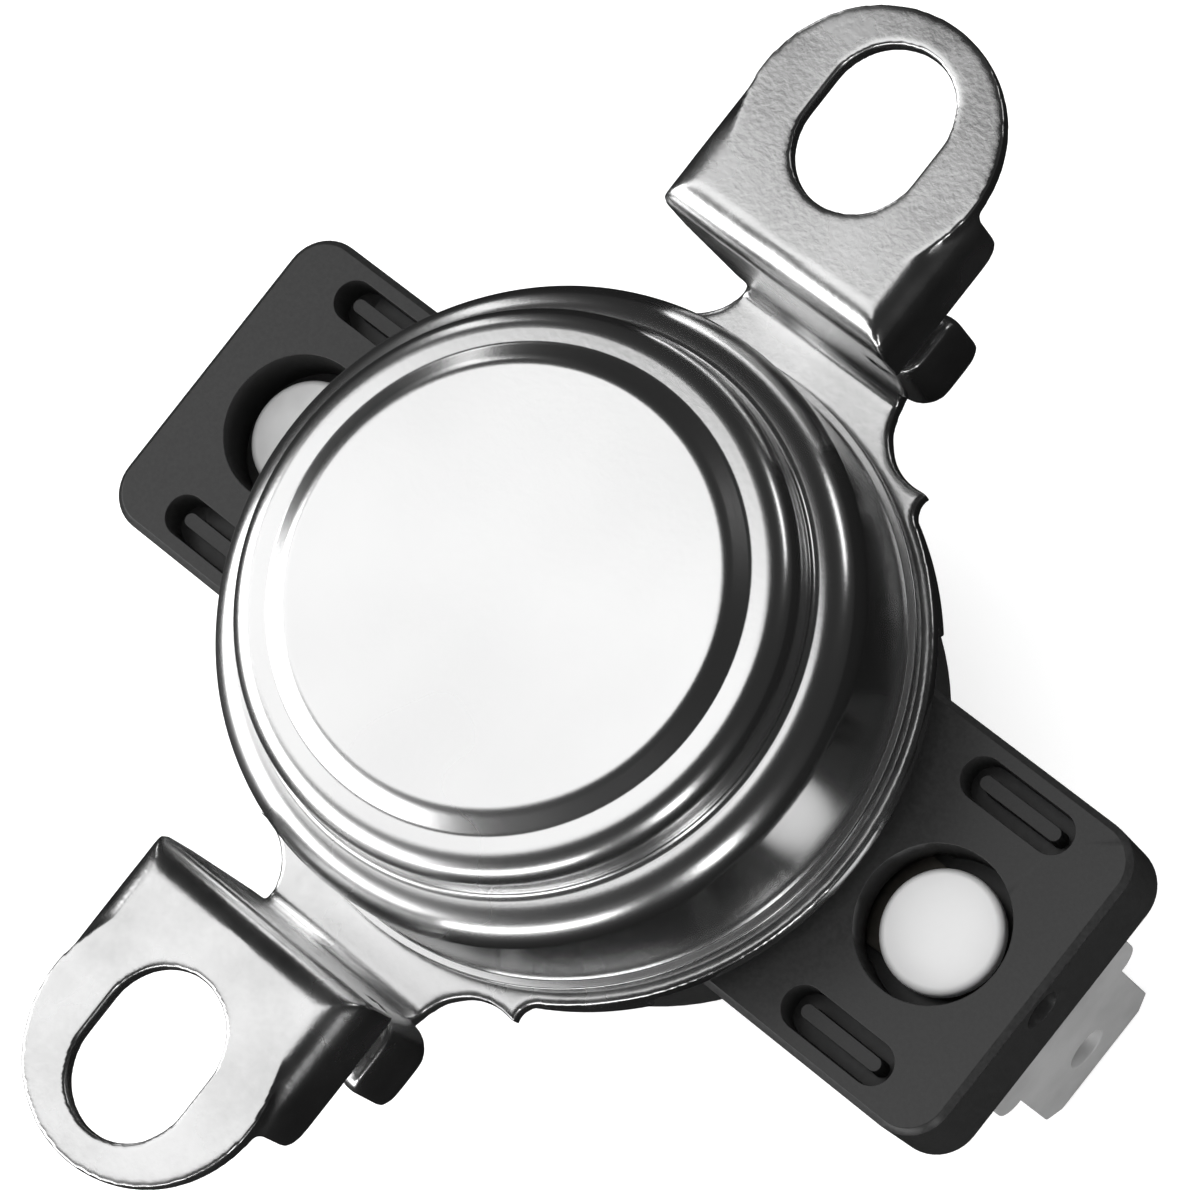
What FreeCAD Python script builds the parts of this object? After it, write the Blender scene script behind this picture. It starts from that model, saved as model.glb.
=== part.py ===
# Snap-disc temperature switch: a stepped steel cup with a bimetal disc under its face, a folded
# bracket with two slotted ears, and a black moulded head with rivets and push-on terminals.
#
# +Z is the way the sensing face looks, Y runs from ear to ear and X along the head.
# The origin is on the cup's axis, in the plane of the ears' upper faces. Every body is drawn
# with z = 0 at the upper face of the bracket's ring and then lowered by ear_lift.
import FreeCAD, Part
import math
import os
import re

import Sketcher

Vector = FreeCAD.Vector

# Driving dimensions in millimetres and degrees
SIZES = {
    # bracket
    "sheet": 0.8,              # thickness of the bracket's strip
    "bend_inside": 0.5,        # inside radius of its bends
    "ear_lift": 9.4,           # ring's upper face to ears' upper face
    "ring_width": 0.7,
    "ring_gap": 0.2,           # ring's bore round the cup's wall
    "flare_half": 7.5,         # half width of the neck where it leaves the ring
    "neck_shift": -0.3,        # the neck stands a little off the middle
    "relief_radius": 2.5,      # round relief beside the neck
    "relief_x": 6.5,
    "relief_beyond": 0.1,      # its centre beyond the web
    "relief_top": 0.9,
    "notch_radius": 0.9,       # small notch that leaves the pointed cusp
    "notch_x": 7.7,
    "notch_depth": 1.35,       # its centre below the ring's edge
    "web_clear": 1.35,         # ring's edge to the cup side of the upright web
    "web_foot": 4.5,           # half width of the web at its foot
    "ear_half": 5.5,           # half width over the ear's wings
    "ear_round": 5.2,          # radius of the ear's end
    "ear_reach": 6.25,         # web to the centre of the ear's round
    "wing_from": 1.7,          # web to the start of the wings
    "wing_length": 4.5,
    "wing_drop": 3.6,
    "wing_corner": 0.9,
    "slot_reach": 6.6,         # web to the slot's centre
    "slot_length": 6.85,
    "slot_width": 5.15,
    "tab_low": 1.0,            # stiffening tab on the web's edge
    "tab_high": 5.0,
    "tab_reach": 2.4,
    "tab_corner": 0.8,
    "tab_relief": 0.9,
    # sensing cup
    "cup_wall": 0.6,
    "cup_radius": 12.75,
    "cup_round": 1.5,
    "step_height": 7.65,
    "step_width": 1.75,        # wall of the cup to wall of its nose
    "nose_round": 1.1,
    "groove_width": 1.65,
    "groove_height": 9.95,
    "face_slope": 0.75,
    "face_round": 0.9,
    "face_height": 10.45,
    "bead_reach": 0.4,         # bead that traps the bracket's ring
    "bead_height": 0.7,
    "bead_slope": 0.3,
    "flange_reach": 0.65,
    "clinch_angle": 52.0,      # first clinch tongue from the X axis
    "clinch_span": 20.0,
    "clinch_reach": 1.7,
    # moulded head
    "head_overhang": 5.0,      # head's end beyond the rivet
    "head_half_width": 7.1,
    "head_corner": 1.8,
    "head_drop": 2.0,          # ring's upper face to the head's upper face
    "head_height": 4.4,
    "head_edge": 0.25,
    "collar_inset": 0.1,
    "collar_height": 1.0,
    "collar_wall": 1.2,
    "housing_inset": 1.25,     # collar to housing
    "housing_depth": 12.0,
    "housing_edge": 0.5,
    "chamber_wall": 1.4,
    "chamber_floor": 9.0,
    "dish_radius": 6.5,
    "dish_depth": 1.0,
    "rivet_outset": 4.25,      # collar to the rivet
    "recess_radius": 3.1,
    "recess_floor": 4.6,
    "pocket_shift": 0.25,      # pocket's centre short of the rivet
    "pocket_edge": 1.65,       # pocket's centre to the head's side
    "pocket_length": 5.2,
    "pocket_width": 1.75,
    "pocket_depth": 1.7,
    "rib_width": 0.6,
    "rib_length": 3.9,
    "rib_rise": 1.2,
    "pin_hole_radius": 0.82,   # blind hole in each end wall
    "pin_hole_depth": 1.3,
    "pin_hole_height": 3.4,
    "guide_rib_height": 0.8,   # ribs beside each terminal
    "guide_rib_width": 0.9,
    "guide_rib_length": 5.0,
    # terminals and their rivets
    "strip": 0.8,
    "base_half": 4.15,
    "tab_half": 3.175,
    "blade_reach": 4.0,        # rivet to the blade's outer face
    "blade_tip": 16.7,
    "shoulder": 11.6,
    "shoulder_round": 0.9,
    "base_round": 1.2,
    "tip_chamfer": 0.7,
    "blade_hole_radius": 0.9,
    "blade_hole": 14.25,
    "rivet_head_radius": 2.45,
    "rivet_head_height": 0.8,
    "rivet_edge": 0.2,
    "rivet_radius": 1.45,
    "clench_radius": 2.1,
    "clench_height": 0.7,
    "clench_slope": 0.5,
    "washer_radius": 2.6,
    "washer_height": 0.5,
    "hole_gap": 0.05,          # rivet in its holes
    # switch
    "guide_height": 1.0,
    "guide_gap": 0.1,
    "guide_boss_radius": 2.4,
    "guide_boss_height": 0.7,
    "arm_thick": 0.6,
    "arm_half": 2.4,
    "arm_eye": 2.8,
    "strap_corner": 0.5,
    "tunnel_gap": 0.1,
    "fixed_end": 4.0,
    "carrier_end": 7.2,
    "blade_thick": 0.3,
    "blade_half": 2.0,
    "hinge_inset": 0.4,        # wall of the chamber to the blade's end
    "joggle_x": 6.6,
    "joggle_run": 0.9,
    "blade_end": 7.4,
    "blade_corner": 0.5,
    "contact_x": 5.6,
    "contact_radius": 1.5,
    "contact_height": 0.5,
    "pin_radius": 1.2,
    "pin_edge": 0.2,
    "pin_gap": 0.05,
    "pin_play": 0.1,
    # disc and its seat
    "disc_inset": 1.475,       # nose's wall to the disc's rim
    "disc_thick": 0.3,
    "disc_flat": 2.5,
    "disc_dome": 0.3,
    "disc_seat": 8.9,
    "disc_gap": 0.15,
    "seat_width": 0.9,
    "lip_height": 0.3,
    "snap_room": 0.6,
    "spacer_gap": 0.15,
}

# Sizes worked out from the ones above, as cells of the same sheet
DERIVED = {
    "bend_outside": "bend_inside + sheet",
    "ring_bore": "cup_radius + ring_gap",
    "ring_radius": "ring_bore + ring_width",
    "bead_radius": "cup_radius + bead_reach",
    "flange_radius": "cup_radius + flange_reach",
    "web_y": "ring_radius + web_clear",
    "relief_y": "web_y + relief_beyond",
    "notch_y": "ring_radius - notch_depth",
    "ear_centre": "web_y + ear_reach",
    "wing_start": "web_y + wing_from",
    "wing_end": "wing_start + wing_length",
    "slot_centre": "web_y + slot_reach",
    "nose_radius": "cup_radius - step_width",
    "groove_radius": "nose_radius - groove_width",
    "face_radius": "groove_radius - face_slope",
    "disc_radius": "nose_radius - disc_inset",
    "collar_radius": "cup_radius - collar_inset",
    "housing_radius": "collar_radius - housing_inset",
    "chamber_radius": "housing_radius - chamber_wall",
    "rivet_x": "collar_radius + rivet_outset",
    "blade_face": "rivet_x + blade_reach",
    "hinge_x": "chamber_radius - hinge_inset",
    "head_half_length": "rivet_x + head_overhang",
    "pocket_x": "rivet_x - pocket_shift",
    "pocket_y": "head_half_width - pocket_edge",
    "seam": "sheet + cup_wall",
    "head_bottom": "head_drop + head_height",
    "arm_top": "recess_floor - arm_thick",
    "gap_top": "recess_floor + contact_height",
    "blade_top": "recess_floor + 2 * contact_height",
    "disc_crown": "disc_seat + disc_dome",
    "pin_top": "disc_seat + disc_dome - pin_play",
}

doc = FreeCAD.newDocument("snap_disc_switch")
sheet = doc.addObject("Spreadsheet::Sheet", "Sizes")


def bind(text):
    """The expression with every size's name pointed at its cell."""
    return re.sub(r"[a-z][a-z_0-9]*", lambda m: "Sizes." + m[0] if m[0] in CELLS else m[0], text)


def size(text):
    return float(sheet.evalExpression(bind(text)))


CELLS = {**SIZES, **DERIVED}
for row, name in enumerate(CELLS, 1):
    sheet.set(f"A{row}", name)
    sheet.setAlias(f"B{row}", name)
for row, value in enumerate(CELLS.values(), 1):
    sheet.set(f"B{row}", "=" + value if isinstance(value, str) else str(value))
doc.recompute()


class Piece:
    """One body of the document with the few features that the pieces here are made of."""

    def __init__(self, label):
        self.body = doc.addObject("PartDesign::Body", label)
        self.body.Label = label
        self.body.setExpression("Placement.Base.z", bind("-ear_lift"))
        self.count = 0

    def name(self, kind):
        self.count += 1
        return f"{self.body.Name}_{kind}{self.count}"

    def plane(self, role):
        return next(item for item in self.body.Origin.OriginFeatures if item.Role == role)

    def sketch(self, role, loops, offset="0", turn="0"):
        """A sketch on an origin plane, moved along its normal by offset, or turned about Z."""
        made = self.body.newObject("Sketcher::SketchObject", self.name("sketch"))
        made.AttachmentSupport = (self.plane(role), "")
        made.MapMode = "FlatFace"
        if turn != "0":
            made.AttachmentOffset = FreeCAD.Placement(Vector(), FreeCAD.Rotation(Vector(0, 1, 0), 0))
            made.setExpression("AttachmentOffset.Rotation.Angle", bind(turn))
        elif offset != "0":
            made.setExpression("AttachmentOffset.Base.z", bind(offset))
        for loop in loops:
            loop(made)
        return made

    def solid(self, kind, sketch, **settings):
        made = self.body.newObject("PartDesign::" + kind, self.name(kind.lower()))
        made.Profile = sketch
        for key, value in settings.items():
            if isinstance(value, str) and key in ("Length", "Angle"):
                made.setExpression(key, bind(value))
            else:
                setattr(made, key, value)
        if kind in ("Revolution", "Groove"):
            made.ReferenceAxis = (sketch, ["V_Axis"])
        sketch.Visibility = False
        return made

    def pad(self, sketch, length, **settings):
        return self.solid("Pad", sketch, Length=length, **settings)

    def pocket(self, sketch, length, **settings):
        before = self.volume()
        made = self.solid("Pocket", sketch, Length=length, **settings)
        if not self.volume() < before - 1e-6:
            raise RuntimeError(f"{made.Name} of {self.body.Label} cuts nothing")
        return made

    def revolve(self, loops, angle="360", turn="0", kind="Revolution"):
        sketch = self.sketch("XZ_Plane", loops, turn=turn)
        return self.solid(kind, sketch, Angle=angle, Midplane=turn != "0")

    def volume(self):
        doc.recompute()
        return self.body.Shape.Volume

    def dress(self, kind, value, test):
        """Fillet or Chamfer on every edge of the present shape that the test picks."""
        doc.recompute()
        tip = self.body.Tip
        picked = [f"Edge{i}" for i, edge in enumerate(tip.Shape.Edges, 1) if test(edge)]
        if not picked:
            raise RuntimeError(f"no edge to {kind.lower()} on {self.body.Label}")
        made = self.body.newObject("PartDesign::" + kind, self.name(kind.lower()))
        made.Base = (tip, picked)
        key = "Radius" if kind == "Fillet" else "Size"
        made.setExpression(key, bind(value))
        return made


def fix(sketch, geometry, point, x, y):
    """Hold one point of a sketch at two expressions."""
    for kind, text in (("DistanceX", x), ("DistanceY", y)):
        rule = Sketcher.Constraint(kind, -1, 1, geometry, point, size(text))
        index = sketch.addConstraint(rule)
        sketch.setExpression(f"Constraints[{index}]", bind(text))


def circle(x, y, radius):
    def draw(sketch):
        shape = Part.Circle(Vector(size(x), size(y), 0), Vector(0, 0, 1), size(radius))
        index = sketch.addGeometry(shape, False)
        fix(sketch, index, 3, x, y)
        rule = sketch.addConstraint(Sketcher.Constraint("Radius", index, size(radius)))
        sketch.setExpression(f"Constraints[{rule}]", bind(radius))
    return draw


def outline(*corners):
    """A closed outline of straight sides. A corner is (x, y) or (x, y, radius) for a round one."""
    def draw(sketch):
        points = [Vector(size(corner[0]), size(corner[1]), 0) for corner in corners]
        count = len(points)
        leave, reach = [], []
        for i, corner in enumerate(corners):
            before = (points[i - 1] - points[i]).normalize()
            after = (points[(i + 1) % count] - points[i]).normalize()
            cut = 0.0
            if len(corner) == 3:
                cut = size(corner[2]) / math.tan(before.getAngle(after) / 2)
            reach.append(points[i] + before * cut)
            leave.append(points[i] + after * cut)
        sides = [sketch.addGeometry(Part.LineSegment(leave[i], reach[(i + 1) % count]), False)
                 for i in range(count)]
        for i, corner in enumerate(corners):
            if len(corner) == 2:
                sketch.addConstraint(Sketcher.Constraint("Coincident", sides[i - 1], 2, sides[i], 1))
                fix(sketch, sides[i], 1, corner[0], corner[1])
            else:
                round_corner(sketch, sides[i - 1], sides[i], reach[i], leave[i], points[i], corner)
    return draw


def round_corner(sketch, first, second, start, end, point, corner):
    radius = size(corner[2])
    middle = (start + end) * 0.5
    centre = point + (middle - point) * ((point - start).Length ** 2 + radius ** 2) ** 0.5 \
        * (1 / (middle - point).Length)
    left = (start - point).cross(end - point).z < 0
    low, high = (start, end) if left else (end, start)
    angles = [math.atan2(p.y - centre.y, p.x - centre.x) for p in (low, high)]
    arc = Part.ArcOfCircle(Part.Circle(centre, Vector(0, 0, 1), radius), *angles)
    index = sketch.addGeometry(arc, False)
    ends = (1, 2) if left else (2, 1)
    sketch.addConstraint(Sketcher.Constraint("Tangent", first, 2, index, ends[0]))
    sketch.addConstraint(Sketcher.Constraint("Tangent", index, ends[1], second, 1))
    rule = sketch.addConstraint(Sketcher.Constraint("Radius", index, radius))
    sketch.setExpression(f"Constraints[{rule}]", bind(corner[2]))
    mark = sketch.addGeometry(Part.Point(point), True)
    sketch.addConstraint(Sketcher.Constraint("PointOnObject", mark, 1, first))
    sketch.addConstraint(Sketcher.Constraint("PointOnObject", mark, 1, second))
    fix(sketch, mark, 1, corner[0], corner[1])


def rounded_box(half_x, half_y, radius):
    corners = (("-1", "-1"), ("1", "-1"), ("1", "1"), ("-1", "1"))
    return outline(*((f"{x} * {half_x}", f"{y} * {half_y}", radius) for x, y in corners))


def stadium(x, y, half_x, half_y):
    """A slot with round ends along its longer half."""
    along_x = size(half_x) > size(half_y)
    across = half_y if along_x else half_x

    def draw(sketch):
        middle = Vector(size(x), size(y), 0)
        radius = size(across)
        reach = size(half_x if along_x else half_y) - radius
        way = Vector(1, 0, 0) if along_x else Vector(0, 1, 0)
        side = Vector(-way.y, way.x, 0)
        turn = 0.0 if along_x else math.pi / 2
        ends = [middle + way * reach, middle - way * reach]
        arcs = [sketch.addGeometry(Part.ArcOfCircle(
            Part.Circle(ends[i], Vector(0, 0, 1), radius),
            turn + (i - 0.5) * math.pi, turn + (i + 0.5) * math.pi), False) for i in (0, 1)]
        lines = [
            sketch.addGeometry(Part.LineSegment(ends[0] + side * radius, ends[1] + side * radius), False),
            sketch.addGeometry(Part.LineSegment(ends[1] - side * radius, ends[0] - side * radius), False),
        ]
        for pair in ((arcs[0], lines[0]), (lines[0], arcs[1]), (arcs[1], lines[1]), (lines[1], arcs[0])):
            sketch.addConstraint(Sketcher.Constraint("Tangent", pair[0], 2, pair[1], 1))
        rule = sketch.addConstraint(Sketcher.Constraint("Radius", arcs[0], radius))
        sketch.setExpression(f"Constraints[{rule}]", bind(across))
        if along_x:
            fix(sketch, arcs[0], 3, f"{x} + {half_x} - {half_y}", y)
            fix(sketch, arcs[1], 3, f"{x} - {half_x} + {half_y}", y)
        else:
            fix(sketch, arcs[0], 3, x, f"{y} + {half_y} - {half_x}")
            fix(sketch, arcs[1], 3, x, f"{y} - {half_y} + {half_x}")
    return draw


# Sides that a pair of like features lies on
SIDES = ("1", "-1")


def sensor_cup():
    cup = Piece("sensor_cup")
    inside = "cup_radius - cup_wall"
    cup.revolve([outline(
        ("0", "face_height"),
        ("face_radius", "face_height", "face_round"),
        ("groove_radius", "groove_height"),
        ("nose_radius", "groove_height", "nose_round"),
        ("nose_radius", "step_height"),
        ("cup_radius", "step_height", "cup_round"),
        ("cup_radius", "bead_height"),
        ("bead_radius", "bead_height - bead_slope"),
        ("bead_radius", "0"),
        ("cup_radius", "0"),
        ("cup_radius", "-sheet"),
        ("flange_radius", "-sheet"),
        ("flange_radius", "-seam"),
        (inside, "-seam"),
        (inside, "step_height - cup_round"),
        ("cup_radius - cup_round", "step_height - cup_wall"),
        ("nose_radius - cup_wall", "step_height - cup_wall"),
        ("nose_radius - cup_wall", "groove_height - nose_round"),
        ("nose_radius - nose_round", "groove_height - cup_wall"),
        ("groove_radius - cup_wall / 3", "groove_height - cup_wall"),
        ("face_radius - cup_wall / 3", "face_height - cup_wall"),
        ("0", "face_height - cup_wall"))])
    # tongues clinched under the head's collar, clear of the head's arms
    grip = "collar_radius + guide_gap / 2"
    under = "-(seam + collar_height)"
    tongue = outline((grip, "-seam + cup_wall / 2"), ("flange_radius", "-seam + cup_wall / 2"),
                     ("flange_radius", f"{under} - cup_wall"),
                     ("flange_radius - clinch_reach", f"{under} - cup_wall"),
                     ("flange_radius - clinch_reach", under), (grip, under))
    for turn in ("clinch_angle", "180 - clinch_angle", "180 + clinch_angle", "-clinch_angle"):
        cup.revolve([tongue], angle="clinch_span", turn=turn)
    return cup


def mounting_bracket():
    bracket = Piece("mounting_bracket")
    outer_web = "web_y + sheet"
    underside = "ear_lift - sheet"
    bracket.pad(bracket.sketch("XY_Plane", [circle("0", "0", "ring_radius")]), "sheet", Reversed=True)
    for side in SIDES:
        far = f"{side} * (web_y - bend_inside)"
        flare = outline(("-flare_half", "0"), ("flare_half", "0"), ("flare_half", far),
                        ("-flare_half", far))
        bracket.pad(bracket.sketch("XY_Plane", [flare]), "sheet", Reversed=True)
        # neck, web and the bend into the ear, from the edge of the strip
        strip = outline(
            (f"{side} * (web_y - bend_outside)", "-sheet"),
            (f"{side} * ({outer_web})", "-sheet", "bend_outside"),
            (f"{side} * ({outer_web})", underside, "bend_inside"),
            (f"{side} * wing_start", underside),
            (f"{side} * wing_start", "ear_lift"),
            (f"{side} * web_y", "ear_lift", "bend_outside"),
            (f"{side} * web_y", "0", "bend_inside"),
            (f"{side} * (web_y - bend_outside)", "0"))
        bracket.pad(bracket.sketch("YZ_Plane", [strip]), "2 * ear_half", Midplane=True)
        # ear with its two wings, as a channel
        channel = outline(
            ("-ear_half", "ear_lift", "bend_outside"),
            ("-ear_half", "ear_lift - wing_drop"),
            ("-ear_half + sheet", "ear_lift - wing_drop"),
            ("-ear_half + sheet", underside, "bend_inside"),
            ("ear_half - sheet", underside, "bend_inside"),
            ("ear_half - sheet", "ear_lift - wing_drop"),
            ("ear_half", "ear_lift - wing_drop"),
            ("ear_half", "ear_lift", "bend_outside"))
        # an XZ sketch looks along -Y, so its offset is turned round
        bracket.pad(bracket.sketch("XZ_Plane", [channel], offset=f"-{side} * wing_start"),
                    "wing_end - wing_start", Reversed=side == "1")
        bracket.pad(bracket.sketch("XY_Plane", [circle("0", f"{side} * ear_centre", "ear_round")],
                                   offset="ear_lift"), "sheet", Reversed=True)
        # the wings run on to the web and close its corners
        walls = [outline((f"{way} * ear_half", "ear_lift - wing_drop"), (f"{way} * ear_half", underside),
                         (f"{way} * (ear_half - sheet)", underside),
                         (f"{way} * (ear_half - sheet)", "ear_lift - wing_drop")) for way in SIDES]
        bracket.pad(bracket.sketch("XZ_Plane", walls, offset=f"-{side} * (web_y + sheet / 2)"),
                    "wing_start - web_y - sheet / 2", Reversed=side == "1")
    bracket.dress("Fillet", "wing_corner", lambda e: along(e, "x") and near(e, "z", "ear_lift - wing_drop")
                  and abs(abs(e.CenterOfMass.y) - size("wing_end")) < 1e-4)
    bracket.pocket(bracket.sketch("XY_Plane", [circle("0", "0", "ring_bore")]), "2 * sheet")
    for side in SIDES:
        # the strip is narrower below the wings, and its edge on +X turns outwards as a tab
        edge = "ear_half - bend_outside - tab_relief / 3"
        relief = outline((edge, "-2 * sheet"), ("ear_half + sheet", "-2 * sheet"),
                         ("ear_half + sheet", "tab_high + tab_relief"), (edge, "tab_high + tab_relief"))
        taper = outline(("-ear_half - sheet", "-2 * sheet"), ("-web_foot", "-2 * sheet"),
                        ("-web_foot", "relief_top"), ("-ear_half", "tab_high + tab_relief"),
                        ("-ear_half - sheet", "tab_high + tab_relief"))
        cuts = bracket.sketch("XZ_Plane", [relief, taper], offset=f"-{side} * (web_y - bend_inside / 2)")
        bracket.pocket(cuts, "3 * sheet", Reversed=side == "-1")
        tab = outline((f"{edge} - sheet", f"{side} * web_y"),
                      ("ear_half", f"{side} * web_y", "bend_outside"),
                      ("ear_half", f"{side} * ({outer_web} + tab_reach)"),
                      ("ear_half - sheet", f"{side} * ({outer_web} + tab_reach)"),
                      ("ear_half - sheet", f"{side} * ({outer_web})", "bend_inside"),
                      (f"{edge} - sheet", f"{side} * ({outer_web})"))
        bracket.pad(bracket.sketch("XY_Plane", [tab], offset="tab_low"), "tab_high - tab_low")
        for way in SIDES:
            ball = circle(f"neck_shift + {way} * relief_x", f"{side} * relief_y", "relief_radius")
            bracket.pocket(bracket.sketch("XY_Plane", [ball], offset="relief_top"),
                           "relief_top + 2 * sheet")
            nick = circle(f"{way} * notch_x", f"{side} * notch_y", "notch_radius")
            bracket.pocket(bracket.sketch("XY_Plane", [nick]), "2 * sheet")
        slot = stadium("0", f"{side} * slot_centre", "slot_width / 2", "slot_length / 2")
        bracket.pocket(bracket.sketch("XY_Plane", [slot], offset="ear_lift"), "2 * sheet")
    reach = "web_y + sheet + tab_reach"
    bracket.dress("Fillet", "tab_corner", lambda e: along(e, "x") and abs(
        abs(e.CenterOfMass.y) - size(reach)) < 1e-4 and e.CenterOfMass.z < size("tab_high + sheet"))
    return bracket


def along(edge, axis):
    """Whether a straight edge runs along the axis."""
    if edge.Curve.TypeId != "Part::GeomLine":
        return False
    ends = edge.Vertexes[0].Point - edge.Vertexes[-1].Point
    return abs(abs(getattr(ends, axis)) - ends.Length) < 1e-6 and ends.Length > 1e-6


def near(edge, axis, value):
    return abs(getattr(edge.CenterOfMass, axis) - size(value)) < 1e-4


def switch_head():
    head = Piece("switch_head")
    plate = rounded_box("head_half_length", "head_half_width", "head_corner")
    head.pad(head.sketch("XY_Plane", [plate], offset="-head_drop"), "head_height", Reversed=True)
    for side in SIDES:
        for way in SIDES:
            inner = f"{way} * (base_half + guide_rib_width + hole_gap)"
            outer = f"{way} * (base_half + hole_gap)"
            rib = outline((f"{side} * (rivet_x - guide_rib_length / 2)", inner),
                          (f"{side} * (rivet_x + guide_rib_length / 2)", inner),
                          (f"{side} * (rivet_x + guide_rib_length / 2)", outer),
                          (f"{side} * (rivet_x - guide_rib_length / 2)", outer))
            head.pad(head.sketch("XY_Plane", [rib], offset="-head_bottom"), "guide_rib_height",
                     Reversed=True)
    head.dress("Chamfer", "head_edge", lambda e: near(e, "z", "-head_drop"))
    shoulder = "-(seam + collar_height)"
    head.revolve([outline(("0", "-seam"), ("collar_radius", "-seam"), ("collar_radius", shoulder),
                          ("housing_radius", shoulder), ("housing_radius", "housing_edge - housing_depth"),
                          ("housing_radius - housing_edge", "-housing_depth"), ("0", "-housing_depth"))])
    seat = "collar_radius - collar_wall"
    ledge = "-(seam + guide_height)"
    head.revolve([outline(("0", "0"), (seat, "0"), (seat, ledge), ("chamber_radius", ledge),
                          ("chamber_radius", "-chamber_floor"), ("0", "-chamber_floor"))], kind="Groove")
    head.pocket(head.sketch("XY_Plane", [circle("0", "0", "dish_radius")],
                            offset="dish_depth - housing_depth"), "2 * dish_depth")
    for side in SIDES:
        at_rivet = f"{side} * rivet_x"
        head.pocket(head.sketch("XY_Plane", [circle(at_rivet, "0", "recess_radius")]), "recess_floor")
        head.pocket(head.sketch("XY_Plane", [circle(at_rivet, "0", "rivet_radius + hole_gap")]),
                    "housing_depth")
        tunnel = outline((f"{side} * (chamber_radius - arm_thick)", "-arm_half - tunnel_gap"),
                         (at_rivet, "-arm_half - tunnel_gap"), (at_rivet, "arm_half + tunnel_gap"),
                         (f"{side} * (chamber_radius - arm_thick)", "arm_half + tunnel_gap"))
        head.pocket(head.sketch("XY_Plane", [tunnel], offset="tunnel_gap - arm_top"),
                    "arm_thick + tunnel_gap")
        hole = circle("0", "-pin_hole_height", "pin_hole_radius")
        head.pocket(head.sketch("YZ_Plane", [hole], offset=f"{side} * (head_half_length + sheet)"),
                    "pin_hole_depth + sheet", Reversed=side == "-1")
        for way in SIDES:
            place = (f"{side} * pocket_x", f"{way} * pocket_y")
            pocket = stadium(*place, "pocket_length / 2", "pocket_width / 2")
            head.pocket(head.sketch("XY_Plane", [pocket]), "head_drop + pocket_depth")
            rib = stadium(*place, "rib_length / 2", "rib_width / 2")
            head.pad(head.sketch("XY_Plane", [rib], offset="-head_drop - pocket_depth"), "rib_rise")
    return head


def terminal(label, side):
    """A push-on blade: a flat base under the head, bent down and shouldered to 6.35 mm."""
    piece = Piece(label)
    base_top = "-head_bottom"
    base_low = "-head_bottom - strip"
    inner = "rivet_x - base_half + base_round"
    profile = outline((f"{side} * ({inner})", base_top),
                      (f"{side} * blade_face", base_top, "strip + bend_inside"),
                      (f"{side} * blade_face", "-blade_tip"),
                      (f"{side} * (blade_face - strip)", "-blade_tip"),
                      (f"{side} * (blade_face - strip)", base_low, "bend_inside"),
                      (f"{side} * ({inner})", base_low))
    piece.pad(piece.sketch("XZ_Plane", [profile]), "2 * base_half", Midplane=True)
    for way in SIDES:
        cut = outline((f"{way} * tab_half", "-shoulder"), (f"{way} * (base_half + strip)", "-shoulder"),
                      (f"{way} * (base_half + strip)", "-blade_tip - strip"),
                      (f"{way} * (tab_half - tip_chamfer)", "-blade_tip - strip"),
                      (f"{way} * (tab_half - tip_chamfer)", "-blade_tip"),
                      (f"{way} * tab_half", "-blade_tip + tip_chamfer"))
        piece.pocket(piece.sketch("YZ_Plane", [cut], offset=f"{side} * (blade_face + strip)"),
                     "3 * strip", Reversed=side == "-1")
    hole = circle("0", "-blade_hole", "blade_hole_radius")
    piece.pocket(piece.sketch("YZ_Plane", [hole], offset=f"{side} * (blade_face + strip)"),
                 "3 * strip", Reversed=side == "-1")
    eye = circle(f"{side} * rivet_x", "0", "rivet_radius + hole_gap")
    piece.pocket(piece.sketch("XY_Plane", [eye]), "housing_depth")
    piece.dress("Fillet", "shoulder_round", lambda e: along(e, "x") and near(e, "z", "-shoulder")
                and abs(e.CenterOfMass.y) > size("base_half") - 1e-3)
    piece.dress("Fillet", "base_round", lambda e: along(e, "z") and abs(
        abs(e.CenterOfMass.x) - size(inner)) < 1e-4)
    return piece


def terminal_rivet(label, side):
    piece = Piece(label)
    top = "rivet_head_height - arm_top"
    low = "-(head_bottom + strip + washer_height)"
    piece.revolve([outline(
        ("0", top), ("rivet_head_radius - rivet_edge", top), ("rivet_head_radius", f"{top} - rivet_edge"),
        ("rivet_head_radius", "-arm_top"), ("rivet_radius", "-arm_top"), ("rivet_radius", low),
        ("clench_radius", low), ("clench_radius - clench_slope", f"{low} - clench_height"),
        ("0", f"{low} - clench_height"))])
    piece.body.setExpression("Placement.Base.x", bind(f"{side} * rivet_x"))
    return piece


def rivet_washer(label, side):
    piece = Piece(label)
    rings = [circle("0", "0", "washer_radius"), circle("0", "0", "rivet_radius + hole_gap")]
    piece.pad(piece.sketch("XY_Plane", rings, offset="-head_bottom - strip"), "washer_height",
              Reversed=True)
    piece.body.setExpression("Placement.Base.x", bind(f"{side} * rivet_x"))
    return piece


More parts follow.
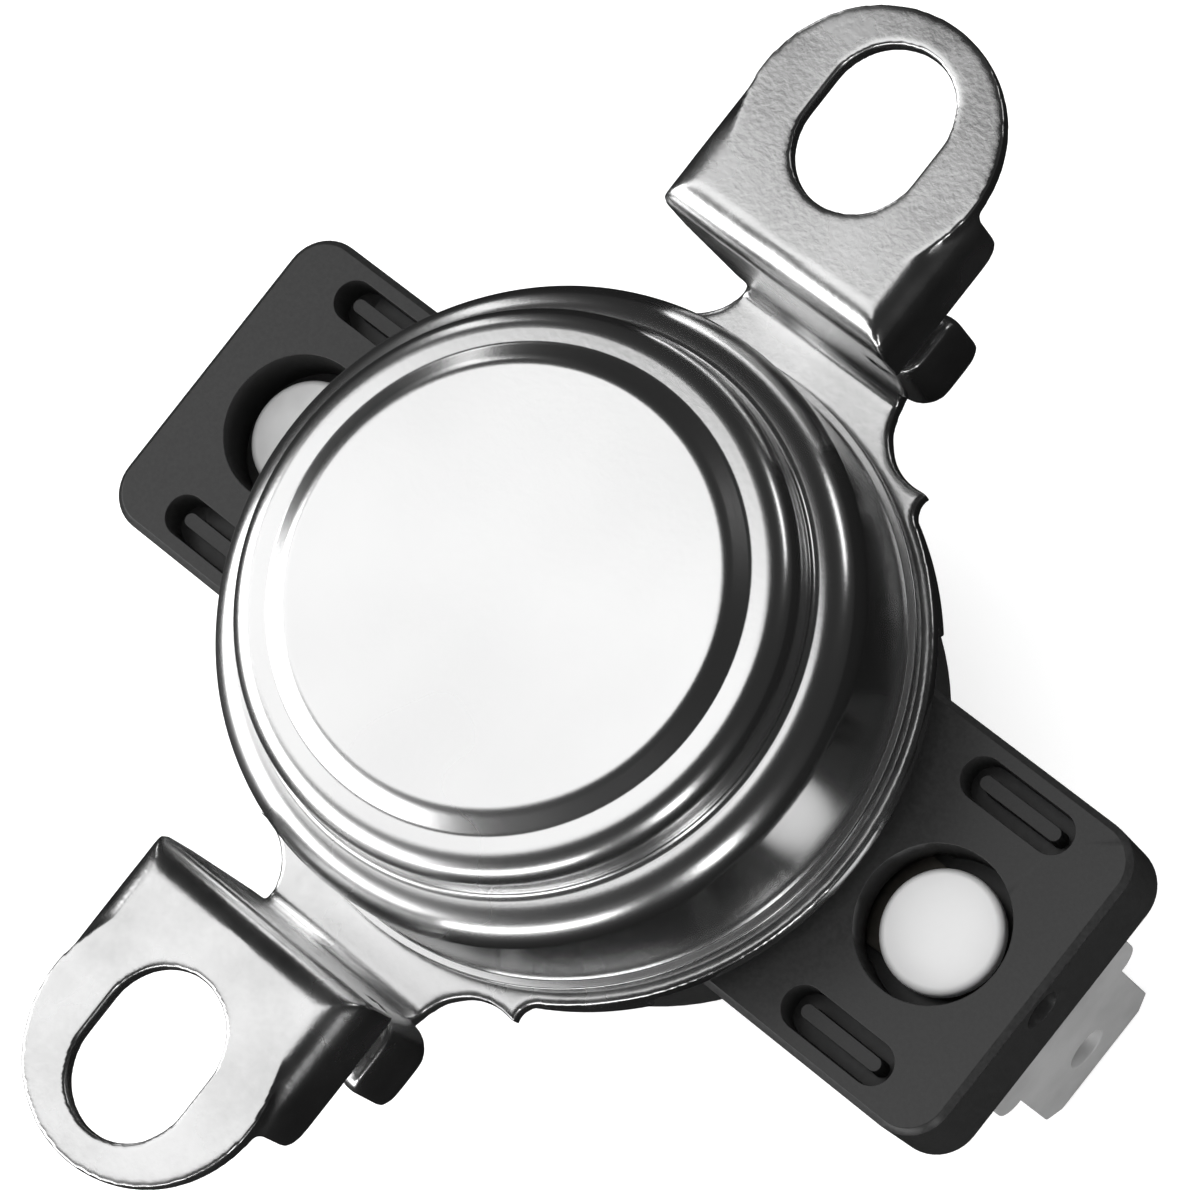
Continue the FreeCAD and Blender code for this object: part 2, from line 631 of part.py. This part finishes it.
def contact_strap(label, side, end):
    """The stiff strap from a rivet through the head's tunnel into the switch chamber."""
    piece = Piece(label)
    bar = outline((f"{side} * ({end})", "-arm_half"), (f"{side} * rivet_x", "-arm_half"),
                  (f"{side} * rivet_x", "arm_half"), (f"{side} * ({end})", "arm_half"))
    level = "-recess_floor"
    piece.pad(piece.sketch("XY_Plane", [bar], offset=level), "arm_thick")
    eye = circle(f"{side} * rivet_x", "0", "arm_eye")
    piece.pad(piece.sketch("XY_Plane", [eye], offset=level), "arm_thick")
    hole = circle(f"{side} * rivet_x", "0", "rivet_radius + hole_gap")
    piece.pocket(piece.sketch("XY_Plane", [hole]), "housing_depth")
    piece.dress("Fillet", "strap_corner", lambda e: along(e, "z") and abs(
        abs(e.CenterOfMass.x) - size(end)) < 1e-4)
    return piece


def contact(label, low, high):
    """A silver button."""
    piece = Piece(label)
    piece.revolve([outline(("0", low), ("contact_radius", low), ("contact_radius", high), ("0", high))])
    piece.body.setExpression("Placement.Base.x", bind("-contact_x"))
    return piece


def switch_arm():
    """The springy blade: lapped under the strap, stepped down and running under the fixed contact."""
    piece = Piece("switch_arm")
    low = "-blade_top"
    piece.pad(piece.sketch("XZ_Plane", [outline(
        ("hinge_x", "-recess_floor"), ("hinge_x", "-recess_floor - blade_thick"),
        ("joggle_x + joggle_run", "-recess_floor - blade_thick"), ("joggle_x", f"{low} - blade_thick"),
        ("-blade_end", f"{low} - blade_thick"), ("-blade_end", low),
        ("joggle_x + blade_thick / 2", low),
        ("joggle_x + joggle_run + blade_thick / 2", "-recess_floor"))]),
        "2 * blade_half", Midplane=True)
    piece.dress("Fillet", "blade_corner", lambda e: along(e, "z"))
    return piece


def guide_plate():
    """Disc that closes the switch chamber, with a raised boss round the pin."""
    piece = Piece("guide_plate")
    rim = "collar_radius - collar_wall - guide_gap"
    piece.revolve([outline(
        ("pin_radius + pin_gap", "-(seam + guide_height)"), (rim, "-(seam + guide_height)"), (rim, "-seam"),
        ("guide_boss_radius", "-seam"), ("guide_boss_radius", "guide_boss_height - seam"),
        ("pin_radius + pin_gap", "guide_boss_height - seam"))])
    return piece


def transfer_pin():
    piece = Piece("transfer_pin")
    piece.revolve([outline(
        ("0", "-blade_top"), ("pin_radius - pin_edge", "-blade_top"),
        ("pin_radius", "pin_edge - blade_top"), ("pin_radius", "pin_top - pin_edge"),
        ("pin_radius - pin_edge", "pin_top"), ("0", "pin_top"))])
    return piece


def bimetal_disc():
    """A snap disc dished about its flat centre."""
    piece = Piece("bimetal_disc")
    piece.revolve([outline(
        ("0", "disc_crown"), ("disc_flat", "disc_crown"), ("disc_radius", "disc_seat"),
        ("disc_radius", "disc_seat + disc_thick"), ("disc_flat", "disc_crown + disc_thick"),
        ("0", "disc_crown + disc_thick"))])
    return piece


def disc_spacer():
    """Moulded plug that fills the cup, seats the disc's rim and guides the pin."""
    piece = Piece("disc_spacer")
    bore = "pin_radius + pin_gap"
    low = "cup_radius - cup_wall - spacer_gap"
    high = "nose_radius - cup_wall - spacer_gap"
    step = "step_height - cup_wall - spacer_gap"
    roof = "disc_seat - snap_room"
    foot = "-seam"
    boss = "guide_boss_radius + spacer_gap"
    boss_top = "guide_boss_height - seam + spacer_gap"
    piece.revolve([outline(
        (bore, roof), ("disc_radius - seat_width", roof), ("disc_radius - seat_width", "disc_seat"),
        ("disc_radius + disc_gap", "disc_seat"), ("disc_radius + disc_gap", "disc_seat + lip_height"),
        (f"{high} - lip_height", "disc_seat + lip_height"), (high, "disc_seat"), (high, step),
        (f"{low} - cup_round + cup_wall", step),
        (low, f"{step} - cup_round + cup_wall"), (low, foot),
        (boss, foot), (boss, boss_top), (bore, boss_top))])
    return piece


made = [
    sensor_cup(),
    mounting_bracket(),
    switch_head(),
    terminal("terminal_a", "1"),
    terminal("terminal_b", "-1"),
    terminal_rivet("terminal_rivet_a", "1"),
    terminal_rivet("terminal_rivet_b", "-1"),
    rivet_washer("rivet_washer_a", "1"),
    rivet_washer("rivet_washer_b", "-1"),
    contact_strap("arm_carrier", "1", "carrier_end"),
    contact_strap("fixed_contact_strap", "-1", "fixed_end"),
    contact("fixed_contact", "-gap_top", "-recess_floor"),
    contact("moving_contact", "-blade_top", "-gap_top"),
    switch_arm(),
    guide_plate(),
    transfer_pin(),
    disc_spacer(),
    bimetal_disc(),
]
nodes = [piece.body for piece in made]
doc.recompute()

failed = [item.Name for item in doc.Objects if {"Invalid", "Error"} & set(item.State)]
failed += [item.Label for item in nodes
           if item.Shape.isNull() or not item.Shape.isValid() or len(item.Shape.Solids) != 1]
if failed:
    raise RuntimeError("not built as meant: " + ", ".join(failed))

os.makedirs("parts", exist_ok=True)
for item in nodes:
    item.Shape.exportStep(f"parts/{item.Label}.step")
    print(item.Label, round(item.Shape.Volume, 2), "mm3")
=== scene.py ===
from math import atan2, ceil, cos, pi, radians, sin, tan

import bmesh
import bpy
from mathutils import Matrix, Vector


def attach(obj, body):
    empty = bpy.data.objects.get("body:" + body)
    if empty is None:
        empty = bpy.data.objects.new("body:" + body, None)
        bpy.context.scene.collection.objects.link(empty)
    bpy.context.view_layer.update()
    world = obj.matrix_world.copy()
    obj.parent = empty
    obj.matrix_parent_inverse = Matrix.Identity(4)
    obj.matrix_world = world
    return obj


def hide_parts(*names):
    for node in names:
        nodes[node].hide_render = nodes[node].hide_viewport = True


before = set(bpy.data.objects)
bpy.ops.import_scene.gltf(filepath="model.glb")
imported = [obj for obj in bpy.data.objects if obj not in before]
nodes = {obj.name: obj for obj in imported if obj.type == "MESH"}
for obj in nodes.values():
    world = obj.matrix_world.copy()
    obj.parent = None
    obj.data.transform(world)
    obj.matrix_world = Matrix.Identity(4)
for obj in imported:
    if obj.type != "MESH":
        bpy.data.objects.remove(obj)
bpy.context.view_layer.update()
mm = 0.001
near = 1e-7  # corners closer than this, in metres, are one corner
lift = 9.4  # from the ring's upper face up to the ears, in millimetres
print("frame loaded:", len(nodes), "nodes")


class Wire:
    # a socket of a node tree that takes part in sums
    def __init__(self, tree, socket=None):
        self.tree = tree
        self.socket = socket

    def node(self, kind, settings=None, values=None, out=0):
        made = self.tree.nodes.new("ShaderNode" + kind)
        for key, value in (settings or {}).items():
            setattr(made, key, value)
        for key, value in (values or {}).items():
            if isinstance(value, Wire):
                self.tree.links.new(value.socket, made.inputs[key])
            else:
                made.inputs[key].default_value = value
        return Wire(self.tree, made.outputs[out])

    def sum(self, operation, first, second):
        return self.node("Math", {"operation": operation}, {0: first, 1: second})

    def __add__(self, other):
        return self.sum("ADD", self, other)

    def __radd__(self, other):
        return self.sum("ADD", other, self)

    def __sub__(self, other):
        return self.sum("SUBTRACT", self, other)

    def __rsub__(self, other):
        return self.sum("SUBTRACT", other, self)

    def __mul__(self, other):
        return self.sum("MULTIPLY", self, other)

    def __rmul__(self, other):
        return self.sum("MULTIPLY", other, self)

    def noise(self, perMm, detail=3.0, rough=0.55):
        return self.node("TexNoise", {"noise_dimensions": "3D"}, {
            "Vector": self, "Scale": perMm / mm, "Detail": detail, "Roughness": rough})

    def bump(self, height, strength, depth=0.02):
        return self.node("Bump", {}, {
            "Strength": strength, "Distance": depth * mm, "Height": height})

    def spread(self, low, high):
        # a noise value pulled out to run from low to high over its middle part
        return self.node("MapRange", {"clamp": True}, {
            "Value": self, "From Min": 0.35, "From Max": 0.65, "To Min": low, "To Max": high})


def surface(name, build):
    made = bpy.data.materials.new(name)
    made.use_nodes = True
    tree = made.node_tree
    tree.nodes.clear()
    place = Wire(tree).node("TexCoord", out="Object")
    shader = place.node("BsdfPrincipled", {}, build(place))
    output = tree.nodes.new("ShaderNodeOutputMaterial")
    tree.links.new(shader.socket, output.inputs["Surface"])
    return made


def metal(low, high, roughness, patch=0.35, grain=4.0, bumps=0.25, swell=3.0, grit=0.1):
    # plated metal: a mottled tone between low and high, with a fine grain in its surface
    def build(place):
        blot = place.noise(patch, 4.0, 0.6)
        fine = place.noise(grain, 2.0)
        return {
            "Base Color": blot.spread(low, high) + (fine - 0.5) * grit,
            "Metallic": 1.0,
            "Roughness": blot.spread(roughness * 0.8, roughness * 1.25),
            "Normal": place.bump(blot * swell + fine, bumps),
        }
    return build


def tinted(colour, roughness):
    # bare coloured metal
    def build(place):
        fine = place.noise(3.0, 2.0)
        return {
            "Base Color": (*colour, 1.0),
            "Metallic": 1.0,
            "Roughness": fine.spread(roughness * 0.8, roughness * 1.2),
            "Normal": place.bump(fine, 0.15),
        }
    return build


def matte(low, high, metallic=0.3):
    # tin, dull enough to show its own tone more than what it mirrors; the rivet heads use it for
    # a painted highlight tone and a painted shade tone
    def build(place):
        blot = place.noise(0.4, 3.0)
        return {
            "Base Color": blot.spread(low, high),
            "Metallic": metallic,
            "Roughness": 0.5,
            "Normal": place.bump(place.noise(4.0, 2.0), 0.15),
        }
    return build


def plastic(tone, roughness, bumps=0.2):
    def build(place):
        fine = place.noise(6.0, 3.0)
        return {
            "Base Color": fine.spread(tone * 0.85, tone * 1.15),
            "Roughness": fine.spread(roughness * 0.9, roughness * 1.1),
            "Normal": place.bump(fine, bumps),
        }
    return build


materials = {name: surface(name, build) for name, build in {
    "cupSteel": metal(0.9, 0.92, 0.23, patch=0.03, bumps=0.1, swell=0.8, grit=0.02),
    "bracketSteel": metal(0.66, 0.97, 0.25, patch=0.16, swell=2.0, grit=0.06),
    "moulding": plastic(0.024, 0.33),
    "tinnedBlade": matte(0.36, 0.43),
    # the rivet heads: one part in two tones, near-white matte as a painted highlight (the
    # softbox's reflection) and mid grey as painted shade
    "rivetPaintedBright": matte(0.96, 0.99, 0.05),
    "rivetPaintedShade": matte(0.5, 0.58, 0.1),
    "washerSteel": metal(0.5, 0.65, 0.35),
    # brass straps darkened near black: painted shade of the rivet recess around the strap's eye
    "strapBrassPaintedShade": tinted((0.11, 0.102, 0.09), 0.45),
    "contactSilver": tinted((0.9, 0.89, 0.86), 0.25),
    "springCopper": tinted((0.8, 0.47, 0.3), 0.33),
    "phenolic": plastic(0.09, 0.5),
    "ceramic": plastic(0.75, 0.45),
    "bimetal": metal(0.45, 0.6, 0.3),
}.items()}
dressed = {
    "sensor_cup": "cupSteel",
    "mounting_bracket": "bracketSteel",
    "switch_head": "moulding",
    "terminal_a": "tinnedBlade",
    "terminal_b": "tinnedBlade",
    "terminal_rivet_a": "rivetPaintedBright",
    "terminal_rivet_b": "rivetPaintedBright",
    "rivet_washer_a": "washerSteel",
    "rivet_washer_b": "washerSteel",
    "arm_carrier": "strapBrassPaintedShade",
    "fixed_contact_strap": "strapBrassPaintedShade",
    "fixed_contact": "contactSilver",
    "moving_contact": "contactSilver",
    "switch_arm": "springCopper",
    "guide_plate": "phenolic",
    "transfer_pin": "ceramic",
    "disc_spacer": "phenolic",
    "bimetal_disc": "bimetal",
}
for name, look in dressed.items():
    slots = nodes[name].material_slots
    for each in slots:
        each.material = materials[look]
    if not slots:
        nodes[name].data.materials.append(materials[look])
print("materials:", len(materials))


def piece(name, mesh, look, node, smooth=35.0):
    # a finished bmesh as a piece on the body of the node that it stands for
    bmesh.ops.recalc_face_normals(mesh, faces=mesh.faces)
    data = bpy.data.meshes.new(name)
    mesh.to_mesh(data)
    mesh.free()
    data.materials.append(materials[look])
    data.polygons.foreach_set("use_smooth", [True] * len(data.polygons))
    data.set_sharp_from_angle(angle=radians(smooth))
    made = bpy.data.objects.new(name, data)
    bpy.context.scene.collection.objects.link(made)
    even = made.modifiers.new("even", "WEIGHTED_NORMAL")
    even.keep_sharp = True
    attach(made, "root")
    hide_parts(node)
    return made


def rounded(corners, step=9.0):
    # an outline with its third numbers turned into arcs
    points = []
    for i, corner in enumerate(corners):
        here = Vector(corner[:2])
        if len(corner) == 2:
            points.append(here)
            continue
        before = (Vector(corners[i - 1][:2]) - here).normalized()
        after = (Vector(corners[(i + 1) % len(corners)][:2]) - here).normalized()
        half = before.angle(after) / 2
        centre = here + (before + after).normalized() * corner[2] / sin(half)
        start = here + before * corner[2] / tan(half) - centre
        end = here + after * corner[2] / tan(half) - centre
        first = atan2(start.y, start.x)
        sweep = (atan2(end.y, end.x) - first + pi) % (2 * pi) - pi
        parts = max(2, ceil(abs(sweep) / radians(step)))
        for k in range(parts + 1):
            angle = first + sweep * k / parts
            points.append(centre + Vector((cos(angle), sin(angle))) * corner[2])
    return points


def turned(mesh, corners, x=0.0, steps=192):
    # an outline in (radius, height) spun about a vertical axis
    line = [mesh.verts.new(((x + p.x) * mm, 0.0, (p.y - lift) * mm)) for p in rounded(corners)]
    edges = [mesh.edges.new(pair) for pair in zip(line, line[1:])]
    bmesh.ops.spin(mesh, geom=line + edges, cent=(x * mm, 0, 0), axis=(0, 0, 1), dvec=(0, 0, 0),
                   angle=2 * pi, steps=steps, use_merge=True, use_duplicate=False)
    bmesh.ops.remove_doubles(mesh, verts=mesh.verts, dist=near)


def evaluated(thing):
    # a bmesh of the object as its modifiers leave it
    bpy.context.view_layer.update()
    seen = thing.evaluated_get(bpy.context.evaluated_depsgraph_get())
    made = bmesh.new()
    made.from_mesh(seen.to_mesh())
    seen.to_mesh_clear()
    return made


def carved(data, prisms):
    # a mesh with prisms along Y, each (outline in x and z, low y, high y), taken out of it
    cutter = bmesh.new()
    for outline, low, high in prisms:
        end = cutter.faces.new(
            [cutter.verts.new((x * mm, low * mm, z * mm)) for x, z in outline])
        grown = bmesh.ops.extrude_face_region(cutter, geom=[end], use_keep_orig=True)["geom"]
        bmesh.ops.translate(cutter, vec=(0, (high - low) * mm, 0),
                            verts=[g for g in grown if isinstance(g, bmesh.types.BMVert)])
    bmesh.ops.recalc_face_normals(cutter, faces=cutter.faces)
    cutData = bpy.data.meshes.new("cutter")
    cutter.to_mesh(cutData)
    cutter.free()
    blank = bpy.data.objects.new("blank", data.copy())
    tool = bpy.data.objects.new("tool", cutData)
    for each in (blank, tool):
        bpy.context.scene.collection.objects.link(each)
    cut = blank.modifiers.new("cut", "BOOLEAN")
    cut.operation = "DIFFERENCE"
    cut.solver = "EXACT"
    cut.object = tool
    made = evaluated(blank)
    for each in (blank, tool):
        bpy.data.objects.remove(each)
    return made


def rolled(mesh, grain, passes):
    # the same solid in an even skin whose edges are worn round, as rolled and pressed sheet is
    data = bpy.data.meshes.new("skin")
    mesh.to_mesh(data)
    mesh.free()
    blank = bpy.data.objects.new("skin", data)
    bpy.context.scene.collection.objects.link(blank)
    skin = blank.modifiers.new("skin", "REMESH")
    skin.mode = "VOXEL"
    skin.voxel_size = grain * mm
    skin.adaptivity = 0.0
    wear = blank.modifiers.new("wear", "SMOOTH")
    wear.factor = 0.5
    wear.iterations = passes
    made = evaluated(blank)
    bpy.data.objects.remove(blank)
    return made


def softened(name, node, look, width, segments=2, limit=28.0, flat=0.6):
    # the node's own solid with its hard edges broken, as rolled sheet and moulded edges are
    mesh = bmesh.new()
    mesh.from_mesh(nodes[node].data)
    bmesh.ops.remove_doubles(mesh, verts=mesh.verts, dist=near)
    bmesh.ops.dissolve_limit(mesh, angle_limit=radians(flat), verts=mesh.verts, edges=mesh.edges)
    hard = [e for e in mesh.edges
            if len(e.link_faces) == 2 and e.calc_face_angle() > radians(limit)]
    bmesh.ops.bevel(mesh, geom=hard, offset=width * mm, offset_type="OFFSET", segments=segments,
                    profile=0.5, affect="EDGES", clamp_overlap=True, material=-1)
    bmesh.ops.remove_doubles(mesh, verts=mesh.verts, dist=near)
    return piece(name, mesh, look, node)


# the drawn cup, with its stepped nose, the bead over the bracket's ring and four clinched tongues
cup = {
    "corners": (
        (0.0, 10.45), (8.6, 10.45, 0.9), (9.35, 9.95, 0.3), (11.0, 9.95, 1.1), (11.0, 7.65, 0.35),
        (12.75, 7.65, 1.5), (12.75, 0.7, 0.1), (13.15, 0.7, 0.08), (13.15, 0.0), (12.75, 0.0),
        (12.75, -0.8), (13.4, -0.8, 0.15), (13.4, -1.4, 0.15), (12.15, -1.4), (12.15, 7.05, 0.9),
        (10.4, 7.05, 0.3), (10.4, 9.35, 0.5), (9.15, 9.35), (8.4, 9.85), (0.0, 9.85)),
    "tongue": (
        (12.7, -1.1), (13.4, -1.1), (13.4, -3.0, 0.6), (11.7, -3.0), (11.7, -2.4), (12.7, -2.4)),
    "tongueAngles": (52, 128, 232, 308),
    "tongueSpan": 20,
    "tongueSteps": 12,
}
shell = bmesh.new()
turned(shell, cup["corners"])
for middle in cup["tongueAngles"]:
    turn = Matrix.Rotation(radians(middle - cup["tongueSpan"] / 2), 3, "Z")
    ring = [shell.verts.new(turn @ Vector((p.x * mm, 0.0, (p.y - lift) * mm)))
            for p in rounded(cup["tongue"])]
    start = shell.faces.new(ring)
    copy = bmesh.ops.duplicate(shell, geom=[start])["geom"]
    bmesh.ops.spin(shell, geom=copy, cent=(0, 0, 0), axis=(0, 0, 1), dvec=(0, 0, 0),
                   angle=radians(cup["tongueSpan"]), steps=cup["tongueSteps"],
                   use_duplicate=False)
bmesh.ops.remove_doubles(shell, verts=shell.verts, dist=near)
piece("cupShell", shell, "cupSteel", "sensor_cup")

# the bracket: each ear's wings and web run together in a pressed corner
bracket = {
    "half": 5.5,
    "cornerRadius": 1.3,
    "cornerParts": 6,
    "cornerFrom": 14.8,
    "cornerTo": 16.7,
    "spare": 0.4,  # how far the cutter stands out of the sheet
    "merge": 2e-6,
    "grain": 0.12,
    "passes": 11,
    "smooth": 60.0,
}
inner = bracket["half"] - bracket["cornerRadius"]
outer = bracket["half"] + bracket["spare"]
bow = [radians(90 * k / bracket["cornerParts"]) for k in range(bracket["cornerParts"] + 1)]
corner = [(inner + bracket["cornerRadius"] * sin(a), bracket["cornerRadius"] * (cos(a) - 1))
          for a in bow]
corner += [(outer, -bracket["cornerRadius"]), (outer, bracket["spare"]),
           (inner, bracket["spare"])]
prisms = []
for side in (1, -1):
    outline = [(side * x, z) for x, z in corner]
    prisms.append((outline, bracket["cornerFrom"], bracket["cornerTo"]))
    prisms.append((outline, -bracket["cornerTo"], -bracket["cornerFrom"]))
pressed = carved(nodes["mounting_bracket"].data, prisms)
bmesh.ops.remove_doubles(pressed, verts=pressed.verts, dist=bracket["merge"])
pressed = rolled(pressed, bracket["grain"], bracket["passes"])
piece("bracketSheet", pressed, "bracketSteel", "mounting_bracket",
      smooth=bracket["smooth"])

# the moulding and the push-on blades, with their edges broken by this many millimetres
broken = {"moulding": 0.13, "blade": 0.1}
softened("headMoulding", "switch_head", "moulding", broken["moulding"])
softened("bladeA", "terminal_a", "tinnedBlade", broken["blade"])
softened("bladeB", "terminal_b", "tinnedBlade", broken["blade"])

# straps, with an eye that the rivet's head covers
strap = {"eye": 2.35, "reach": 2.5, "rivet": 16.9}
for name, node in (("carrierStrap", "arm_carrier"), ("contactStrap", "fixed_contact_strap")):
    bar = bmesh.new()
    bar.from_mesh(nodes[node].data)
    for v in bar.verts:
        side = 1 if v.co.x > 0 else -1
        spoke = Vector((v.co.x - side * strap["rivet"] * mm, v.co.y))
        if side * spoke.x > -strap["reach"] * mm and spoke.length > strap["eye"] * mm:
            spoke *= strap["eye"] * mm / spoke.length
            v.co.x, v.co.y = side * strap["rivet"] * mm + spoke.x, spoke.y
    piece(name, bar, "strapBrassPaintedShade", node)

# rivets: a low flat head in the recess and the set end under the terminal
rivet = {
    "corners": (
        (0.0, -3.2), (2.45, -3.2, 0.3), (2.45, -4.0, 0.1), (1.45, -4.0), (1.45, -7.7),
        (2.1, -7.7, 0.15), (1.6, -8.4, 0.4), (0.0, -8.4)),
    "steps": 64,
    "places": {"A": 16.9, "B": -16.9},
    # rivet A takes the painted highlight tone, rivet B the painted shade tone
    "looks": {"A": "rivetPaintedBright", "B": "rivetPaintedShade"},
}
for mark, x in rivet["places"].items():
    body = bmesh.new()
    turned(body, rivet["corners"], x, rivet["steps"])
    piece("rivet" + mark, body, rivet["looks"][mark],
          "terminal_rivet_" + mark.lower())
print("pieces made")

# white stage, dark where the metal mirrors it
stage = {"half": 3.0, "height": -0.02615, "white": 0.9, "inGloss": 0.01, "lift": 0.4}
floorMesh = bmesh.new()
bmesh.ops.create_grid(floorMesh, x_segments=1, y_segments=1, size=stage["half"])
bmesh.ops.translate(floorMesh, verts=floorMesh.verts, vec=(0, 0, stage["height"]))
floorData = bpy.data.meshes.new("floor")
floorMesh.to_mesh(floorData)
floorMesh.free()
floorLook = bpy.data.materials.new("floorWhite")
floorLook.use_nodes = True
tree = floorLook.node_tree
tree.nodes.clear()
ray = Wire(tree).node("LightPath", out="Is Glossy Ray")
tone = stage["white"] - ray * (stage["white"] - stage["inGloss"])
flat = tone.node("BsdfDiffuse", {}, {"Color": tone})
look = Wire(tree).node("LightPath", out="Is Camera Ray")
clear = look.node("Emission", {}, {"Color": look * stage["lift"], "Strength": 1.0})
both = look.node("AddShader", {}, {0: flat, 1: clear})
tree.links.new(both.socket, tree.nodes.new("ShaderNodeOutputMaterial").inputs["Surface"])
floorData.materials.append(floorLook)
floor = bpy.data.objects.new("floor", floorData)
bpy.context.scene.collection.objects.link(floor)

# white surroundings, dark in mirror directions
studio = {"white": 0.97, "glossLoss": 0.945, "seenGain": 0.03}
world = bpy.data.worlds.new("studio")
bpy.context.scene.world = world
world.use_nodes = True
tree = world.node_tree
tree.nodes.clear()
seen = Wire(tree).node("LightPath", out="Is Camera Ray")
gloss = Wire(tree).node("LightPath", out="Is Glossy Ray")
tone = studio["white"] - gloss * studio["glossLoss"] + seen * studio["seenGain"]
back = tone.node("Background", {}, {"Color": tone, "Strength": 1.0})
tree.links.new(back.socket, tree.nodes.new("ShaderNodeOutputWorld").inputs["Surface"])

# soft boxes: direction from the object, distance, width, height, radiance
lamps = {
    "overhead": ((-0.40, -0.07, 0.912), 0.6, 0.27, 0.58, 1.11),
    "lowerLeft": ((-0.62, -0.66, 0.38), 0.6, 0.85, 0.42, 2.4),
    "left": ((-0.88, 0.42, 0.3), 0.6, 0.06, 0.3, 1.8),
    "far": ((0.3, 0.85, 0.4), 0.7, 0.25, 0.1, 2.0),
    "rim": ((0.32, -0.92, 0.24), 0.7, 0.6, 0.16, 3.6),
    "front": ((0.88, -0.3, 0.3), 0.7, 0.12, 0.3, 3.2),
}
for name, (way, distance, width, height, radiance) in lamps.items():
    light = bpy.data.lights.new(name, "AREA")
    light.shape = "RECTANGLE"
    light.size = width
    light.size_y = height
    light.energy = radiance * pi * width * height
    lamp = bpy.data.objects.new(name, light)
    bpy.context.scene.collection.objects.link(lamp)
    toward = Vector(way).normalized()
    lamp.location = toward * distance
    lamp.rotation_euler = toward.to_track_quat("Z", "Y").to_euler()

# the photograph's viewpoint: columns are right, up and back
eye = {
    "place": (0.08322, -0.00225, 0.18312),
    "rows": (
        (0.72471, -0.55899, 0.4029),
        (0.61774, 0.78612, -0.02048),
        (-0.30528, 0.26372, 0.91502)),
    "lens": 165.8,
    "sensor": 36.0,
    "nearest": 0.01,
    "farthest": 20.0,
    "shift": (0.003, -0.0045),
}
lens = bpy.data.cameras.new("eye")
lens.lens = eye["lens"]
lens.sensor_width = eye["sensor"]
lens.shift_x, lens.shift_y = eye["shift"]
lens.clip_start = eye["nearest"]
lens.clip_end = eye["farthest"]
camera = bpy.data.objects.new("eye", lens)
bpy.context.scene.collection.objects.link(camera)
camera.matrix_world = Matrix.Translation(eye["place"]) @ Matrix(eye["rows"]).to_4x4()
bpy.context.scene.camera = camera
bpy.context.scene.view_settings.view_transform = "Standard"
print("stage, lights and camera set")
